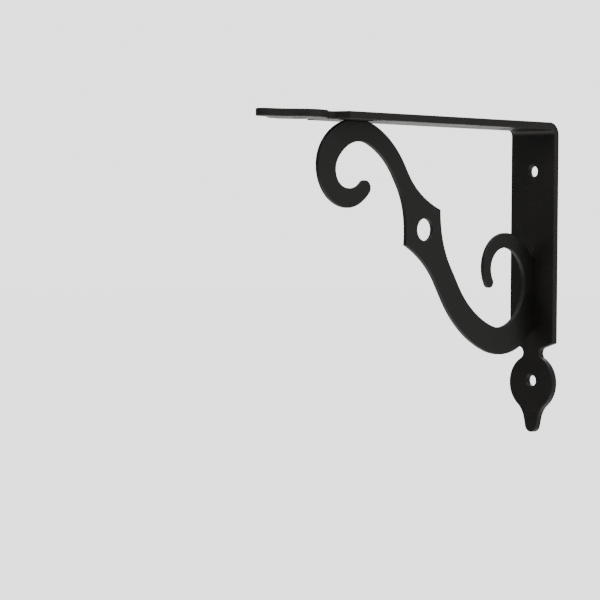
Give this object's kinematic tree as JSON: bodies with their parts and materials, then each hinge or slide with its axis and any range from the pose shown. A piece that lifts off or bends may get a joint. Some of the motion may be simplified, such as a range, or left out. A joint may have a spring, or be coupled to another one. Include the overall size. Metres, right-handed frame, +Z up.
{
  "type": "scroll shelf bracket",
  "caption": "Steel strap bent square with spear-shaped ends, braced on edge by a flat S-scroll, to hold a shelf on a wall.",
  "frame": {"origin": "on the strap's wall face, in the middle of its width, midway between the two wall screws", "axes": "+Y into the wall, +Z up to the shelf, +X across the strap's width; the bracket reaches out along -Y"},
  "size_m": [0.0254, 0.1745, 0.1397],
  "materials": {
    "strap_paint": "satin black powder coat with a fine orange-peel texture",
    "brace_paint": "satin black powder coat, slightly thinner and lighter over the cut edges"
  },
  "bodies": {
    "root": {"strap": "strap_paint", "scroll_brace": "brace_paint"}
  },
  "joints": []
}
